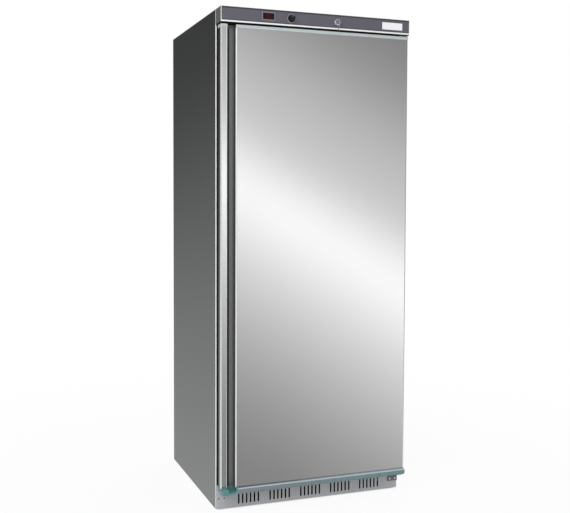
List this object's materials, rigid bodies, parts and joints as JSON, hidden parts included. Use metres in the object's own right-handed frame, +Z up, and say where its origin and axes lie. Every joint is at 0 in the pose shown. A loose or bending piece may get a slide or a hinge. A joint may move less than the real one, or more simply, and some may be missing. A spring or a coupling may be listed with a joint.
{
  "type": "commercial refrigerator",
  "caption": "Upright one-door stainless refrigerator with a control fascia, a full-height grip, wire shelves, a slotted plinth and a cooling unit at the back.",
  "frame": {"origin": "middle of the footprint's bounding box, on the floor", "axes": "+Z up, +X to the right of someone facing the door, -Y towards that person"},
  "size_m": [0.777, 0.7696, 1.895],
  "materials": {
    "steel_door": "brushed",
    "steel_body": "brushed",
    "steel_inner": "galvanised",
    "fascia_steel": "brushed",
    "plinth_steel": "satin",
    "grip_aluminium": "satin anodised",
    "cap_plastic": "satin",
    "liner_plastic": "gloss",
    "foam": "matt",
    "gasket_rubber": "matt",
    "magnet": "matt",
    "black_plastic": "satin",
    "display_rim": "satin",
    "display_dark": "gloss",
    "label_white": "gloss",
    "chrome": "polished",
    "zinc_steel": "zinc plated",
    "wire_steel": "bright",
    "aluminium": "plain",
    "copper": "plain",
    "black_steel": "satin",
    "black_rubber": "matt",
    "grey_plastic": "satin"
  },
  "bodies": {
    "cabinet": {"side_panels": "steel_body", "top_panel": "steel_body", "back_panel": "steel_inner", "bottom_pan": "steel_inner", "front_frame": "steel_body", "cabinet_foam": "foam", "inner_liner": "liner_plastic", "plinth_grille": "plinth_steel", "floor_rails": "steel_inner", "roller_brackets": "steel_inner", "control_fascia": "fascia_steel", "display_case": "display_rim", "display_window": "display_dark", "label_plate": "label_white", "thermostat_body": "black_plastic", "lock_barrel": "chrome", "hinge_brackets": "zinc_steel", "hinge_pins": "zinc_steel", "panel_screws": "zinc_steel", "shelf_racks": "grey_plastic", "evaporator_cover": "liner_plastic", "evaporator_coil": "aluminium", "fan_motors": "black_steel", "temperature_probe": "grey_plastic", "drain_tube": "grey_plastic", "machine_tray": "steel_inner", "compressor": "black_steel", "compressor_grommets": "black_rubber", "terminal_box": "black_plastic", "evaporation_bowl": "black_plastic", "condenser_coil": "aluminium", "refrigerant_pipes": "copper", "service_cover": "steel_inner", "mains_gland": "black_plastic"},
    "door": {"door_skin": "steel_door", "grip_profile": "grip_aluminium", "recess_plate": "grip_aluminium", "door_foam": "foam", "door_liner": "liner_plastic", "door_gasket": "gasket_rubber", "gasket_magnets": "magnet", "door_top_cap": "cap_plastic", "door_bottom_cap": "cap_plastic", "lock_keeper": "zinc_steel", "hinge_bushes": "black_plastic"},
    "knob": {"thermostat_knob": "black_plastic", "thermostat_shaft": "zinc_steel"},
    "lock": {"lock_rotor": "zinc_steel", "lock_key": "zinc_steel"},
    "key_ring": {"spare_key_ring": "zinc_steel"},
    "shelf_1": {"wire_shelf_1": "wire_steel"},
    "shelf_2": {"wire_shelf_2": "wire_steel"},
    "shelf_3": {"wire_shelf_3": "wire_steel"},
    "shelf_4": {"wire_shelf_4": "wire_steel"},
    "foot_left": {"left_front_foot": "black_steel"},
    "foot_right": {"right_front_foot": "black_steel"},
    "roller_left": {"left_rear_roller": "black_rubber"},
    "roller_right": {"right_rear_roller": "black_rubber"},
    "cold_fan": {"evaporator_fan": "black_plastic"},
    "warm_fan": {"condenser_fan": "black_plastic"}
  },
  "joints": [
    {"name": "door_hinge", "type": "hinge", "parent": "cabinet", "child": "door", "pos_m": [0.3665, -0.33925, 0.08], "axis": [0, 0, 1], "range_deg": [0, 110]},
    {"name": "knob_turn", "type": "hinge", "parent": "cabinet", "child": "knob", "pos_m": [-0.113, -0.36225, 1.8665], "axis": [0, 1, 0], "range_deg": [-140, 140]},
    {"name": "lock_turn", "type": "hinge", "parent": "cabinet", "child": "lock", "pos_m": [0.075, -0.36225, 1.8665], "axis": [0, 1, 0], "range_deg": [0, 90]},
    {"name": "key_ring_swing", "type": "hinge", "parent": "lock", "child": "key_ring", "pos_m": [0.075, -0.37475, 1.8717], "axis": [1, 0, 0], "range_deg": [-45, 10]},
    {"name": "shelf_1_slide", "type": "slide", "parent": "cabinet", "child": "shelf_1", "axis": [0, -1, 0], "range_m": [0, 0.045]},
    {"name": "shelf_2_slide", "type": "slide", "parent": "cabinet", "child": "shelf_2", "axis": [0, -1, 0], "range_m": [0, 0.045]},
    {"name": "shelf_3_slide", "type": "slide", "parent": "cabinet", "child": "shelf_3", "axis": [0, -1, 0], "range_m": [0, 0.045]},
    {"name": "shelf_4_slide", "type": "slide", "parent": "cabinet", "child": "shelf_4", "axis": [0, -1, 0], "range_m": [0, 0.045]},
    {"name": "foot_left_screw", "type": "hinge", "parent": "cabinet", "child": "foot_left", "pos_m": [-0.3615, -0.24725, 0.05], "axis": [0, 0, 1], "continuous": true},
    {"name": "roller_left_axle", "type": "hinge", "parent": "cabinet", "child": "roller_left", "pos_m": [-0.3615, 0.33575, 0.025], "axis": [1, 0, 0], "continuous": true},
    {"name": "foot_right_screw", "type": "hinge", "parent": "cabinet", "child": "foot_right", "pos_m": [0.3615, -0.24725, 0.05], "axis": [0, 0, 1], "continuous": true},
    {"name": "roller_right_axle", "type": "hinge", "parent": "cabinet", "child": "roller_right", "pos_m": [0.3615, 0.33575, 0.025], "axis": [1, 0, 0], "continuous": true},
    {"name": "cold_fan_shaft", "type": "hinge", "parent": "cabinet", "child": "cold_fan", "pos_m": [0, 0.16275, 1.7215], "axis": [0, 0, 1], "continuous": true},
    {"name": "warm_fan_shaft", "type": "hinge", "parent": "cabinet", "child": "warm_fan", "pos_m": [-0.176, 0.22075, 0.1273], "axis": [0, 1, 0], "continuous": true}
  ]
}
